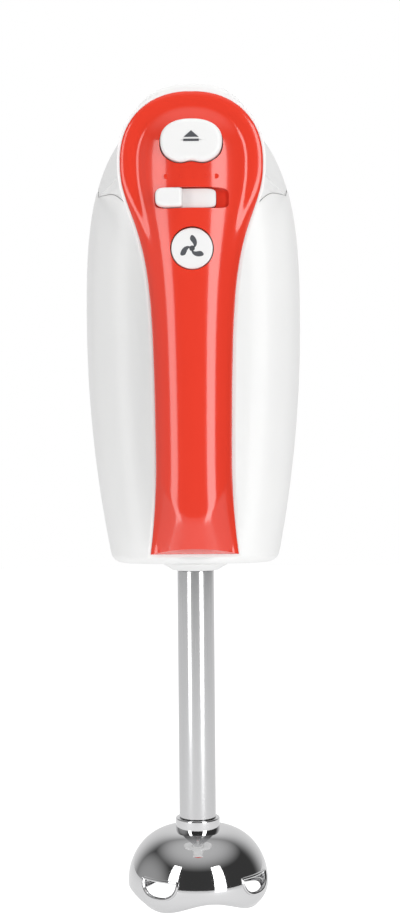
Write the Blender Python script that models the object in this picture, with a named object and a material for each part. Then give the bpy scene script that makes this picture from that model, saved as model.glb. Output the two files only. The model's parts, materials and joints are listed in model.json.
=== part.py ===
"""Two-in-one hand mixer body with a plug-in stainless blending stick, built as an assembly.

Metres, +Z up along the shared motor and stick axis, with the bell at the bottom. The handle faces -Y
and the outline is symmetric about X = 0. The origin is the middle of the bounding box's bottom.
Positions are written as (x, out, z), where out is the distance from the stick axis towards the handle.
"""

import math

import bmesh
import bpy
from mathutils import Matrix, Vector

# Overall sizes of the motor body
STICK_LENGTH = 0.1515       # bell rim to the rear end of the body
BODY_LENGTH = 0.1975        # rear end to the tip of the nose
BODY_HALF_WIDTH = 0.0476    # at the widest level
REAR_HALF_WIDTH = 0.0368
WIDEST_ABOVE_REAR = 0.1065
BODY_BACK = 0.045           # stick axis to the underside
BODY_FRONT = 0.032          # stick axis to the motor cover under the fingers
BODY_WALL = 0.0025
NOSE_SQUARENESS = 2.9
SECTION_SQUARENESS = 3.0
END_RADIUS = 0.004          # rounding of the rear end's rim

# Handle
GRIP_INNER = 0.058          # stick axis to the side of the grip that the fingers hold
GRIP_FACE = 0.085           # stick axis to the red face
END_FALL = 0.002            # the face drops by this much towards its lower end
END_FALL_HEIGHT = 0.030
COVER_SEAT = 0.076          # stick axis to the joint between cover and handle shell
COVER_WALL = 0.0024
HEAD_HALF_WIDTH = 0.0286
WAIST_HALF_WIDTH = 0.0149
REAR_FLARE = 0.0025
HEAD_RISE = 0.028           # head's widest level to the cover's top
HEAD_BELOW_NOSE = 0.033     # nose tip to the head's widest level
COVER_ABOVE_REAR = 0.0075
HEAD_CROWN = 0.76           # share of the head's half width that the domed face takes
CROWN_DROP = 0.84           # share of the cover's depth that the dome falls by there
HANDLE_RIM = 0.0012         # the handle shell shows this much beyond the cover
HOOD_REACH = 0.0745         # the front column runs out to just under the cover
HOOD_FLOOR = 0.036          # head's widest level down to the hood's lower edge at the body
HOOD_NECK_FLOOR = 0.028
HOOD_SHOULDER = 0.90        # share of the half width where its lower edge starts to turn down
HOOD_TURN = 0.6             # share of the half width over which it comes down
HOOD_FACE = 0.004           # thickness of the hood's front under the cover's rim
SEAM_NOTCH = 0.0005
HOOD_LIP = 0.0035           # head's widest level down to the seam at the side
COLUMN_HALF_WIDTH = 0.019
COLUMN_TOP_HALF_WIDTH = 0.0175
COLUMN_DEPTH = 0.043
COLUMN_TOP_DEPTH = 0.034
COLUMN_REACH = 0.064

# Controls on the head
CONTROL_RISE = 0.0025       # the highest control stands this far above the cover's face
EJECT_WIDTH = 0.0244
EJECT_HEIGHT = 0.0181
EJECT_BELOW_NOSE = 0.0273
EJECT_TRAVEL = 0.006
SLOT_WIDTH = 0.0295
SLOT_HEIGHT = 0.0083
SLOT_BELOW_NOSE = 0.049
KNOB_WIDTH = 0.0107
BLEND_RADIUS = 0.0082
BLEND_BELOW_NOSE = 0.069
BLEND_TRAVEL = 0.0025
BLEND_SINK = 0.0006
CONTROL_GAP = 0.0004

# Inside the handle and the head, as distances from the stick axis
BOARD_OUT = GRIP_INNER + 0.005
BOARD_THICKNESS = 0.0016
SWITCH_OUT = BOARD_OUT + BOARD_THICKNESS + CONTROL_GAP
COVER_INSIDE = GRIP_FACE - COVER_WALL
BUTTON_BASE = COVER_SEAT - 0.0045
BLEND_BASE = COVER_SEAT - 0.0038
BLEND_SWITCH_HEIGHT = 0.004
GUIDE_OUT = BODY_FRONT + 0.016
GUIDE_THICKNESS = 0.003
ROD_RADIUS = 0.0025
YOKE_OUT = BODY_FRONT - 0.0015
YOKE_THICKNESS = 0.003
PIN_TIP_OUT = 0.015
GEAR_PLATE_OUTS = (0.0110, -0.0140)
GEAR_PLATE_THICKNESS = 0.003

# Motor and gears
SHAFT_RADIUS = 0.003
STATOR_SIDE = 0.050
STATOR_LENGTH = 0.038
STATOR_BORE = 0.0152
STATOR_ABOVE_REAR = 0.059
ARMATURE_RADIUS = 0.0145
COIL_WIDTH = 0.005
COMMUTATOR_RADIUS = 0.009
COMMUTATOR_LENGTH = 0.012
BRUSH_SIDE = 0.005
BRUSH_LENGTH = 0.015
FAN_RADIUS = 0.024
FAN_BLADES = 9
BEARING_RADIUS = 0.008
BEARING_LENGTH = 0.007
BRACKET_HALF_WIDTH = 0.024
BRACKET_THICKNESS = 0.003
WORM_RADIUS = 0.0055
WORM_PITCH = 0.006
WORM_LENGTH = 0.030
WHEEL_RADIUS = 0.014
WHEEL_TEETH = 24
WHEEL_THICKNESS = 0.008
GEARS_BELOW_NOSE = 0.043
SPINDLE_RADIUS = 0.006
SPINDLE_BORE = 0.0035
SPINDLE_TOP = 0.022

# Stick
PLUG_RADIUS = 0.012
PLUG_LENGTH = 0.022
SOCKET_WALL = 0.003
SOCKET_DEPTH = 0.026
COLLAR_RADIUS = 0.0145
COLLAR_HEIGHT = 0.0042
TUBE_RADIUS = 0.0082
TUBE_WALL = 0.0008
STICK_SHAFT_RADIUS = 0.0025
BELL_RADIUS = 0.0314
BELL_HEIGHT = 0.0363
BELL_WALL = 0.0012
NECK_RADIUS = 0.0099
NECK_HEIGHT = 0.0048
LOBES = 4
LOBE_RISE = 0.0046
LOBE_TURN = math.radians(-34.0)     # first lobe, from the handle side towards +X
VENT_WIDTH = 0.0175
VENT_HEIGHT = 0.0080
VENT_FLOOR = 0.0062
BLADE_RADIUS = 0.0215
BLADE_WIDTH = 0.008
BLADE_THICKNESS = 0.0012
BLADE_LEVEL = 0.0125

# Fasteners and fits
SCREW_HEAD_RADIUS = 0.003
SCREW_RADIUS = 0.0015
SCREW_SINK = 0.028          # stick axis to the seat of the screw's head
SCREW_GRIP = 0.010
BOSS_RADIUS = 0.0047
GLAND_RADIUS = 0.0055
GLAND_FROM_AXIS = 0.0245
GAP = 0.0003                # clearance between touching pieces

# Places that follow from the sizes
AXIS_Y = (GRIP_FACE + CONTROL_RISE - BODY_BACK) / 2
REAR_Z = STICK_LENGTH
NOSE_Z = REAR_Z + BODY_LENGTH
WIDEST_Z = REAR_Z + WIDEST_ABOVE_REAR
HEAD_Z = NOSE_Z - HEAD_BELOW_NOSE
COVER_BOTTOM_Z = REAR_Z + COVER_ABOVE_REAR
EJECT_Z = NOSE_Z - EJECT_BELOW_NOSE
SLOT_Z = NOSE_Z - SLOT_BELOW_NOSE
BLEND_Z = NOSE_Z - BLEND_BELOW_NOSE
GEARS_Z = NOSE_Z - GEARS_BELOW_NOSE
GEAR_SPACING = WORM_RADIUS + WHEEL_RADIUS + CONTROL_GAP
STATOR_Z = REAR_Z + STATOR_ABOVE_REAR
SOCKET_TOP_Z = REAR_Z + SOCKET_DEPTH
SWITCH_TRAVEL = SLOT_WIDTH - KNOB_WIDTH - 2 * CONTROL_GAP
REAR_BRACKET_Z = SOCKET_TOP_Z + 0.006
FRONT_BRACKET_Z = STATOR_Z + STATOR_LENGTH + 0.023
FAN_Z = STATOR_Z + STATOR_LENGTH + 0.008
COMMUTATOR_Z = STATOR_Z - COMMUTATOR_LENGTH - 0.007
SCREW_PLACES = ((0.024, REAR_Z + 0.019), (0.0295, FRONT_BRACKET_Z - 0.010))


def clear_scene():
    for obj in list(bpy.data.objects):
        bpy.data.objects.remove(obj, do_unlink=True)


def material(name, colour, roughness, metallic=0.0):
    mat = bpy.data.materials.new(name)
    mat.use_nodes = True
    shader = mat.node_tree.nodes["Principled BSDF"]
    shader.inputs["Base Color"].default_value = (*colour, 1.0)
    shader.inputs["Roughness"].default_value = roughness
    shader.inputs["Metallic"].default_value = metallic
    return mat


def at(x, out, z):
    """The point that lies x to the side, out from the stick axis towards the handle, at height z."""
    return Vector((x, AXIS_Y - out, z))


def bow(value, squareness):
    """A cosine or sine squared off, for superellipse outlines."""
    return math.copysign(abs(value) ** (2 / squareness), value)


def ease(share):
    """0 to 1 with a level start and end."""
    share = min(max(share, 0.0), 1.0)
    return share * share * (3 - 2 * share)


# Mesh tools


def loft(rings):
    """A skin over outlines of equal count, capped at both ends."""
    bm = bmesh.new()
    loops = []
    for ring in rings:
        verts = [bm.verts.new(point) for point in ring]
        loops.append([bm.edges.new(ends) for ends in zip(verts, verts[1:] + verts[:1])])
    for first, second in zip(loops, loops[1:]):
        bmesh.ops.bridge_loops(bm, edges=first + second)
    bmesh.ops.contextual_create(bm, geom=loops[0])
    bmesh.ops.contextual_create(bm, geom=loops[-1])
    bmesh.ops.recalc_face_normals(bm, faces=bm.faces)
    return bm


def turned(profile, steps=24, place=None):
    """A closed or axis-to-axis profile of (radius, height) turned about the stick axis or at a place."""
    bm = bmesh.new()
    verts = [bm.verts.new((radius, 0, height)) for radius, height in profile]
    edges = [bm.edges.new(ends) for ends in zip(verts, verts[1:])]
    if profile[0][0] > 0:
        edges.append(bm.edges.new((verts[-1], verts[0])))
    bmesh.ops.spin(bm, geom=verts + edges, cent=(0, 0, 0), axis=(0, 0, 1), angle=2 * math.pi,
                   steps=steps, use_merge=True)
    bmesh.ops.remove_doubles(bm, verts=bm.verts, dist=1e-7)
    bmesh.ops.recalc_face_normals(bm, faces=bm.faces)
    bm.transform(place or Matrix.Translation(at(0, 0, 0)))
    return bm


def facing_out(x, z):
    """Turns a piece made along Z so that its height runs out towards the handle, at x and z."""
    return Matrix.Translation(at(x, 0, z)) @ Matrix.Rotation(math.pi / 2, 4, "X")


def rod(radius, low, high, steps=20, place=None):
    return turned(((0, low), (radius, low), (radius, high), (0, high)), steps, place)


def sleeve(inner, outer, low, high, steps=24, place=None):
    return turned(((inner, low), (outer, low), (outer, high), (inner, high)), steps, place)


def block(x, out, z):
    """A box from (low, high) pairs."""
    bm = bmesh.new()
    bmesh.ops.create_cube(bm, size=1.0)
    middle = at(*(sum(pair) / 2 for pair in (x, out, z)))
    size = [pair[1] - pair[0] for pair in (x, out, z)]
    bm.transform(Matrix.Translation(middle) @ Matrix.Diagonal((*size, 1.0)))
    return bm


def together(*meshes):
    """Several cutters or bosses in one mesh."""
    bm = bmesh.new()
    for each in meshes:
        scratch = bpy.data.meshes.new("scratch")
        each.to_mesh(scratch)
        bm.from_mesh(scratch)
        bpy.data.meshes.remove(scratch)
        each.free()
    return bm


def add(name, bm, mat, parent=None, sharp=35):
    mesh = bpy.data.meshes.new(name)
    bm.to_mesh(mesh)
    bm.free()
    mesh.shade_smooth()
    mesh.set_sharp_from_angle(angle=math.radians(sharp))
    mesh.materials.append(mat)
    obj = bpy.data.objects.new(name, mesh)
    bpy.context.collection.objects.link(obj)
    if parent:
        obj.parent = parent
        obj.matrix_parent_inverse = Matrix.Translation(parent.location).inverted()
    return obj


def boolean(obj, bm, operation, label):
    tool = add(f"{obj.name}_{label}", bm, obj.data.materials[0])
    tool.hide_render = True
    tool.display_type = "WIRE"
    modifier = obj.modifiers.new(label, "BOOLEAN")
    modifier.operation = operation
    modifier.object = tool


def cut(obj, bm, label):
    boolean(obj, bm, "DIFFERENCE", label)


def join(obj, bm, label):
    boolean(obj, bm, "UNION", label)


def axis_empty(name, place):
    empty = bpy.data.objects.new(name, None)
    empty.location = place
    bpy.context.collection.objects.link(empty)
    return empty


# Outlines of the body and the handle


def nose_share(z):
    """The body's half width at a level above the widest one, as a share of the widest."""
    share = min((z - WIDEST_Z) / (NOSE_Z - WIDEST_Z), 1.0)
    return (1 - share ** NOSE_SQUARENESS) ** (1 / NOSE_SQUARENESS)


def body_half_width(z):
    if z >= WIDEST_Z:
        return BODY_HALF_WIDTH * nose_share(z)
    below = (WIDEST_Z - z) / (WIDEST_Z - REAR_Z)
    return BODY_HALF_WIDTH - (BODY_HALF_WIDTH - REAR_HALF_WIDTH) * below ** 2


def depth_share(z):
    """How deep the body is at a level, as a share of its full depth."""
    if z >= WIDEST_Z:
        share = min((z - WIDEST_Z) / (NOSE_Z - WIDEST_Z), 1.0)
        return max(1 - share ** 4, 0.0) ** 0.5 * 0.88 + 0.12
    return 1 - 0.16 * ((WIDEST_Z - z) / (WIDEST_Z - REAR_Z)) ** 2


def body_levels(top_z, inset=0.0):
    """Heights from the rear end up, closer together where the outline turns."""
    rear = REAR_Z + inset
    levels = [rear, rear + 0.3 * END_RADIUS, rear + END_RADIUS]
    levels += [rear + END_RADIUS + (WIDEST_Z - rear - END_RADIUS) * i / 4 for i in range(1, 5)]
    nose = NOSE_Z - inset
    turns = 7
    levels += [WIDEST_Z + (nose - WIDEST_Z) * math.sin(math.pi / 2 * i / turns) for i in range(1, turns)]
    levels.append(nose - 0.0004)
    return [z for z in levels if z < top_z - 0.001] + [min(top_z, nose - 0.0004)]


def half_ring(half_width, flat, reach, z, squareness=SECTION_SQUARENESS, count=14):
    """A level outline with a straight side at flat and a bow that goes reach beyond it."""
    ring = []
    for i in range(count + 1):
        angle = math.pi * i / count
        x = half_width * bow(math.cos(angle), squareness)
        ring.append(at(x, flat + reach * bow(math.sin(angle), squareness), z))
    return ring


def skin_out(x, z, reach):
    """How far out the body's skin lies over a point x to the side at height z."""
    bow_share = (1 - (abs(x) / body_half_width(z)) ** SECTION_SQUARENESS) ** (1 / SECTION_SQUARENESS)
    return reach * depth_share(z) * bow_share


def body_half(flat, reach, top_z, inset=0.0):
    """One half of the body's outer form, or with an inset, the hollow within its wall."""
    rings = []
    side = math.copysign(1, reach)
    for z in body_levels(top_z, inset):
        half_width = body_half_width(min(z + (0.35 * inset if z > WIDEST_Z else 0), NOSE_Z - 0.0003))
        rim = min((z - REAR_Z - inset) / END_RADIUS, 1.0)
        trim = END_RADIUS * (1 - math.sqrt(1 - (1 - rim) ** 2))
        depth = abs(reach) * depth_share(z) - trim - inset
        rings.append(half_ring(max(half_width - trim - inset, 0.002), flat, side * depth, z))
    return loft(rings)


def head_share(share):
    """How much of the head is left in the handle's form, by the share of the way down to its end."""
    return 1 / (1 + (max(share, 0.0) / 0.18) ** 2.5)


def handle_half_width(share):
    """Half width of the cover below the head, by the share of the way down to its lower end."""
    flare = (max(share - 0.75, 0.0) / 0.25) ** 2
    return WAIST_HALF_WIDTH + (HEAD_HALF_WIDTH - WAIST_HALF_WIDTH) * head_share(share) + REAR_FLARE * flare


def face_out(z):
    """How far the cover's middle line stands from the stick axis."""
    return GRIP_FACE - END_FALL * max(1 - (z - COVER_BOTTOM_Z) / END_FALL_HEIGHT, 0.0) ** 2


def handle_levels(grow):
    """(height, half width, share of full depth) from the lower end to the top of the head."""
    found = []
    steps = 9
    for i in range(steps):
        share = 1 - i / steps
        z = HEAD_Z - share * (HEAD_Z - COVER_BOTTOM_Z + grow)
        found.append((z, handle_half_width(share) + grow, 1.0))
    turns = 7
    for i in range(turns):
        rise = math.sin(math.radians(84) * i / (turns - 1))
        share = (1 - rise ** 2.2) ** (1 / 2.2)
        found.append((HEAD_Z + (HEAD_RISE + grow) * rise, (HEAD_HALF_WIDTH + grow) * share,
                      0.45 + 0.55 * share))
    return found


def crown_share(reach, dome):
    """The height of the cover's face, from its middle (1) to its edge (0), at a share of the way out."""
    oval = math.sqrt(max(1 - reach ** 2, 0.0))
    if reach < HEAD_CROWN:
        domed = 1 - CROWN_DROP * (reach / HEAD_CROWN) ** 2
    else:
        brim = (reach - HEAD_CROWN) / (1 - HEAD_CROWN)
        domed = (1 - CROWN_DROP) * math.sqrt(max(1 - brim ** 2, 0.0))
    return oval * (1 - dome) + domed * dome


def cover_form(grow, seat):
    """The cover's outer form, or with a negative grow, its hollow."""
    rings = []
    count = 14
    for z, half_width, _ in handle_levels(grow):
        dome = head_share((HEAD_Z - z) / (HEAD_Z - COVER_BOTTOM_Z))
        rise = max(z - HEAD_Z, 0.0) / (HEAD_RISE + grow)
        ring = []
        for i in range(count + 1):
            across = math.cos(math.pi * i / count)
            along = abs(across) * half_width / (HEAD_HALF_WIDTH + grow) if rise else abs(across)
            reach = min((along ** 2.2 + rise ** 2.2) ** (1 / 2.2), 1.0)
            out = COVER_SEAT + (face_out(z) - COVER_SEAT) * crown_share(reach, dome) + grow
            ring.append(at(half_width * across, max(out, seat + 0.0005) if 0 < i < count else seat, z))
        rings.append(ring)
    return loft(rings)


def grip_form(grow, seat):
    """The handle shell's grip, bowed towards the fingers."""
    rings = []
    for z, half_width, depth in handle_levels(HANDLE_RIM + grow):
        reach = (COVER_SEAT - GRIP_INNER) * depth + grow + seat - COVER_SEAT
        rings.append(half_ring(half_width, seat, -reach, z, 2.8, 10))
    return loft(rings)


def hood_form(grow, start, end):
    """The front column: the body's nose outline drawn in to the head's, with an arched lower edge."""
    rings = []
    upper, lower, steps = 10, 14, 5
    for k in range(steps + 1):
        share = k / steps
        out = start + (end - start) * share
        drawn = ease(out / HOOD_REACH)
        half_width = (body_half_width(HEAD_Z) * (1 - drawn)
                      + (HEAD_HALF_WIDTH + HANDLE_RIM) * drawn + grow)
        rise = (NOSE_Z - HEAD_Z - 0.0004) - 0.0015 * drawn + grow
        floor = HOOD_FLOOR + (HOOD_NECK_FLOOR - HOOD_FLOOR) * ease(2 * out / HOOD_REACH)
        ring = []
        for i in range(upper):
            angle = math.pi * i / upper
            lift = math.sin(angle)
            width = nose_share(HEAD_Z + (NOSE_Z - HEAD_Z) * min(lift, 0.9995)) / nose_share(HEAD_Z)
            ring.append(at(math.copysign(half_width * width, math.cos(angle)), out,
                           HEAD_Z + max(rise * lift, -HOOD_LIP - grow)))
        for i in range(lower):
            across = -math.cos(math.pi * i / lower)
            drop = floor * ease((HOOD_SHOULDER - abs(across)) / HOOD_TURN)
            ring.append(at(half_width * across, out, HEAD_Z - HOOD_LIP - drop - grow))
        rings.append(ring)
    return loft(rings)


def column_form(grow, start, end):
    """The rear column, flared where it meets the body."""
    rings = []
    count, steps = 20, 3
    for k in range(steps + 1):
        share = k / steps
        drawn = share ** 0.6
        half_width = COLUMN_HALF_WIDTH + (COLUMN_TOP_HALF_WIDTH - COLUMN_HALF_WIDTH) * drawn + grow
        depth = COLUMN_DEPTH + (COLUMN_TOP_DEPTH - COLUMN_DEPTH) * drawn
        foot = REAR_Z + 0.001 + (COVER_ABOVE_REAR - 0.001) * share
        ring = []
        for i in range(count):
            angle = 2 * math.pi * i / count
            ring.append(at(half_width * bow(math.cos(angle), 2.6), start + (end - start) * share,
                           foot + depth / 2 + (depth / 2 + grow) * bow(math.sin(angle), 2.6)))
        rings.append(ring)
    return loft(rings)


# Casings


def screw_positions():
    return [(side * x, z) for x, z in SCREW_PLACES for side in (-1, 1)]


def base_shell(mat):
    obj = add("base_shell", body_half(-GAP / 2, -BODY_BACK, NOSE_Z), mat)
    cut(obj, body_half(BODY_WALL, -BODY_BACK - BODY_WALL, NOSE_Z - BODY_WALL, BODY_WALL), "hollow")
    bosses = []
    for x, z in screw_positions():
        end = skin_out(abs(x) + BOSS_RADIUS, z, -BODY_BACK) + 0.0005
        bosses.append(rod(BOSS_RADIUS, end, -GAP / 2, 14, facing_out(x, z)))
    join(obj, together(*bosses), "bosses")
    holes = []
    for x, z in screw_positions():
        head = SCREW_HEAD_RADIUS + GAP
        shank = SCREW_RADIUS + GAP
        profile = ((0, -BODY_BACK - 0.001), (head, -BODY_BACK - 0.001), (head, -SCREW_SINK),
                   (shank, -SCREW_SINK), (shank, 0.001), (0, 0.001))
        holes.append(turned(profile, 14, facing_out(x, z)))
    cut(obj, together(*holes), "screw_holes")
    rings = [rod(SPINDLE_RADIUS + 0.0005, -BODY_BACK - 0.001, -BODY_BACK + 0.012, 20,
                 facing_out(side * GEAR_SPACING, GEARS_Z)) for side in (-1, 1)]
    cut(obj, together(*rings), "beater_holes")
    cut(obj, rod(PLUG_RADIUS + SOCKET_WALL + GAP, REAR_Z - 0.001, REAR_Z + 0.004), "socket_hole")
    cut(obj, rod(GLAND_RADIUS + GAP, REAR_Z - 0.001, REAR_Z + 0.004, 16,
                 Matrix.Translation(at(0, -GLAND_FROM_AXIS, 0))), "gland_hole")


def upper_housing(mat):
    top = HEAD_Z - SEAM_NOTCH
    obj = add("upper_housing", body_half(GAP / 2, BODY_FRONT, top), mat)
    cut(obj, body_half(-BODY_WALL, BODY_FRONT + BODY_WALL, top + 0.01, BODY_WALL), "hollow")
    bosses = []
    for x, z in screw_positions():
        end = skin_out(abs(x) + BOSS_RADIUS, z, BODY_FRONT) - 0.0005
        bosses.append(rod(BOSS_RADIUS, GAP / 2, end, 14, facing_out(x, z)))
    join(obj, together(*bosses), "bosses")
    holes = [rod(SCREW_RADIUS + GAP, -0.001, SCREW_GRIP + 0.001, 14, facing_out(x, z))
             for x, z in screw_positions()]
    cut(obj, together(*holes), "screw_holes")
    cut(obj, hood_form(GAP, -0.001, HOOD_REACH), "hood_seat")
    cut(obj, rod(PLUG_RADIUS + SOCKET_WALL + GAP, REAR_Z - 0.001, REAR_Z + 0.004), "socket_hole")


def handle_shell(mat):
    """The grip with its front and rear columns, one C-shaped moulding open under the cover."""
    seat = COVER_SEAT - GAP / 2
    obj = add("handle_shell", grip_form(0, seat), mat)
    join(obj, hood_form(0, GAP / 2, HOOD_REACH), "hood")
    join(obj, column_form(0, BODY_FRONT * 0.6, COLUMN_REACH), "column")
    cut(obj, body_half(-0.001, BODY_FRONT + 0.001 + GAP, HEAD_Z - SEAM_NOTCH, -GAP), "body_seat")
    cut(obj, grip_form(-BODY_WALL, seat + 0.001), "grip_hollow")
    cut(obj, hood_form(-BODY_WALL, -0.001, COVER_SEAT - HOOD_FACE), "hood_hollow")
    cut(obj, column_form(-BODY_WALL, BODY_FRONT * 0.5, COLUMN_REACH + 0.002), "column_hollow")


def bean_ring(grow, out, bulge=0.0):
    """The eject button's outline: an oval with a dent in the middle of its lower edge."""
    ring = []
    for i in range(28):
        angle = 2 * math.pi * i / 28
        x = (EJECT_WIDTH / 2 + grow) * bow(math.cos(angle), 2.3)
        z = (EJECT_HEIGHT / 2 + grow) * bow(math.sin(angle), 2.3)
        if z < 0:
            z += 0.0012 * math.exp(-(x / 0.0032) ** 2)
        ring.append(at(x, out + bulge, EJECT_Z + z))
    return ring


def slot_form(half_width, half_height, low, high, x=0.0):
    rings = []
    for out in (low, high):
        ring = []
        for i in range(20):
            angle = 2 * math.pi * i / 20
            ring.append(at(x + half_width * bow(math.cos(angle), 7),
                           out, SLOT_Z + half_height * bow(math.sin(angle), 5)))
        rings.append(ring)
    return loft(rings)


def handle_cover(mat):
    """The red cover, with openings for the eject button, the speed switch and the blend button."""
    obj = add("handle_cover", cover_form(0, COVER_SEAT + GAP / 2), mat)
    cut(obj, cover_form(-COVER_WALL, COVER_SEAT - 0.001), "hollow")
    low, high = COVER_SEAT, GRIP_FACE + 0.004
    cut(obj, loft((bean_ring(CONTROL_GAP, low), bean_ring(CONTROL_GAP, high))), "eject_opening")
    cut(obj, slot_form(SLOT_WIDTH / 2, SLOT_HEIGHT / 2, low, high), "slot")
    cut(obj, rod(BLEND_RADIUS + CONTROL_GAP, low, high, 28, facing_out(0, BLEND_Z)), "blend_opening")


def stick_socket(mat):
    """The lined hole in the rear end that the stick's plug pushes into."""
    add("stick_socket", sleeve(PLUG_RADIUS + GAP, PLUG_RADIUS + SOCKET_WALL, REAR_Z + GAP, SOCKET_TOP_Z), mat)


def cord_gland(mat):
    """The inlet for a supply lead, beside the stick on the side away from the handle."""
    place = Matrix.Translation(at(0, -GLAND_FROM_AXIS, 0))
    flange = GLAND_RADIUS + 0.001
    inner = REAR_Z + BODY_WALL + GAP
    profile = ((0.003, REAR_Z - 0.003), (GLAND_RADIUS - 0.001, REAR_Z - 0.003), (GLAND_RADIUS, REAR_Z),
               (GLAND_RADIUS, inner), (flange, inner), (flange, inner + 0.003), (0.003, inner + 0.003))
    add("cord_gland", turned(profile, 16, place), mat)


def screws(mat):
    for i, (x, z) in enumerate(screw_positions(), 1):
        seat = -SCREW_SINK - GAP
        profile = ((0, seat - 0.0022), (SCREW_HEAD_RADIUS * 0.8, seat - 0.0022),
                   (SCREW_HEAD_RADIUS, seat - 0.0012), (SCREW_HEAD_RADIUS, seat), (SCREW_RADIUS, seat),
                   (SCREW_RADIUS, SCREW_GRIP), (0, SCREW_GRIP))
        add(f"housing_screw_{i}", turned(profile, 12, facing_out(x, z)), mat)


# Controls


def control_parts(plastic, dark, board_green):
    track = add("slide_track", slot_form(SLOT_WIDTH / 2 - GAP, SLOT_HEIGHT / 2 - GAP,
                                         COVER_INSIDE - 0.003, COVER_INSIDE - 0.001), plastic)
    groove = 0.0014
    reach = (SWITCH_TRAVEL + 0.004) / 2
    groove_z = (SLOT_Z - groove, SLOT_Z + groove)
    cut(track, block((-reach, reach), (COVER_INSIDE - 0.005, COVER_INSIDE), groove_z), "groove")
    half = SLOT_WIDTH / 2 - 0.0005
    switch = add("switch_block", block((-half, half), (SWITCH_OUT, COVER_INSIDE - 0.005),
                                       (SLOT_Z - 0.005, SLOT_Z + 0.005)), dark)
    cut(switch, block((-reach, reach), (SWITCH_OUT + 0.003, COVER_INSIDE), groove_z), "groove")
    board_top = BOARD_OUT + BOARD_THICKNESS
    board = add("circuit_board", block((-0.009, 0.009), (BOARD_OUT, board_top),
                                       (BLEND_Z - 0.012, SLOT_Z + 0.007)), board_green)
    cut(board, rod(0.002, BOARD_OUT - 0.001, board_top + 0.001, 12, facing_out(0, BLEND_Z - 0.008)),
        "fixing_hole")
    add("blend_switch", block((-0.006, 0.006), (SWITCH_OUT, SWITCH_OUT + BLEND_SWITCH_HEIGHT),
                              (BLEND_Z - 0.005, BLEND_Z + 0.005)), dark)
    thick = (GUIDE_OUT, GUIDE_OUT + GUIDE_THICKNESS)
    ring_radius = 0.0085
    place = facing_out(0, EJECT_Z)
    guide = add("eject_guide", sleeve(ROD_RADIUS + CONTROL_GAP, ring_radius, *thick, 20, place), plastic)
    arm_z = (EJECT_Z - 0.004, EJECT_Z + 0.004)
    join(guide, block((-0.020, 0.001 - ring_radius), thick, arm_z), "left_arm")
    join(guide, block((ring_radius - 0.001, 0.020), thick, arm_z), "right_arm")


def spring(name, mat, radius, wire, low, high, turns, x, z):
    """A coil of round wire, one sweep of short sections along a helix."""
    steps = 9
    rings = []
    place = facing_out(x, z)
    for i in range(turns * steps + 1):
        angle = 2 * math.pi * i / steps
        height = low + wire + (high - low - 2 * wire) * i / (turns * steps)
        ring = []
        for j in range(5):
            around = 2 * math.pi * j / 5
            reach = radius + wire * math.cos(around)
            ring.append(place @ Vector((reach * math.cos(angle), reach * math.sin(angle),
                                        height + wire * math.sin(around))))
        rings.append(ring)
    add(name, loft(rings), mat)


def eject_parts(plastic, dark, axis):
    face = GRIP_FACE + CONTROL_RISE
    rings = [bean_ring(-0.0004, BUTTON_BASE), bean_ring(0, face - 0.0016), bean_ring(-0.0005, face - 0.0006),
             bean_ring(-0.0022, face)]
    add("eject_button", loft(rings), plastic, axis)
    yoke_top = YOKE_OUT + YOKE_THICKNESS
    place = facing_out(0, EJECT_Z)
    add("eject_rod", rod(ROD_RADIUS, yoke_top + GAP, BUTTON_BASE - GAP, 12, place), dark, axis)
    half = GEAR_SPACING + 0.0005
    yoke = add("ejector_yoke", block((-half, half), (YOKE_OUT, yoke_top), (GEARS_Z - 0.001, EJECT_Z + 0.004)),
               dark, axis)
    pins = [rod(SPINDLE_BORE - 0.0008, PIN_TIP_OUT, YOKE_OUT + 0.0005, 12,
                facing_out(side * GEAR_SPACING, GEARS_Z)) for side in (-1, 1)]
    join(yoke, together(*pins), "pins")


def speed_knob(plastic, axis):
    """The raised thumb piece, with a stem that reaches through the track into the switch."""
    face = GRIP_FACE + CONTROL_RISE - 0.0003
    track_face = COVER_INSIDE - 0.001
    x = -SWITCH_TRAVEL / 2
    half_width, half_height = KNOB_WIDTH / 2, SLOT_HEIGHT / 2 - CONTROL_GAP
    rings = []
    for out, narrow in ((track_face + GAP, 0), (face - 0.002, 0), (face, 0.0012)):
        ring = []
        for i in range(20):
            angle = math.tau * i / 20
            ring.append(at(x + (half_width - narrow) * bow(math.cos(angle), 6), out,
                           SLOT_Z + (half_height - narrow) * bow(math.sin(angle), 5)))
        rings.append(ring)
    knob = add("speed_knob", loft(rings), plastic, axis)
    stem = 0.0012
    join(knob, block((x - stem, x + stem), (SWITCH_OUT + 0.005, track_face + 0.001),
                     (SLOT_Z - 0.001, SLOT_Z + 0.001)), "stem")


def blend_button(plastic, axis):
    face = GRIP_FACE - BLEND_SINK
    edge = 0.0006
    profile = ((0, BLEND_BASE), (BLEND_RADIUS, BLEND_BASE), (BLEND_RADIUS, face - edge),
               (BLEND_RADIUS - edge, face), (0, face))
    add("blend_button", turned(profile, 28, facing_out(0, BLEND_Z)), plastic, axis)


# Motor


def toothed_ring(radius, depth, teeth, z, place, duty=0.5):
    ring = []
    for i in range(teeth):
        for share, low in ((0.0, False), (duty, False), (duty + 0.06, True), (0.94, True)):
            angle = math.tau * (i + share) / teeth
            reach = radius - (depth if low else 0)
            ring.append(place @ Vector((reach * math.cos(angle), reach * math.sin(angle), z)))
    return ring


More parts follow.
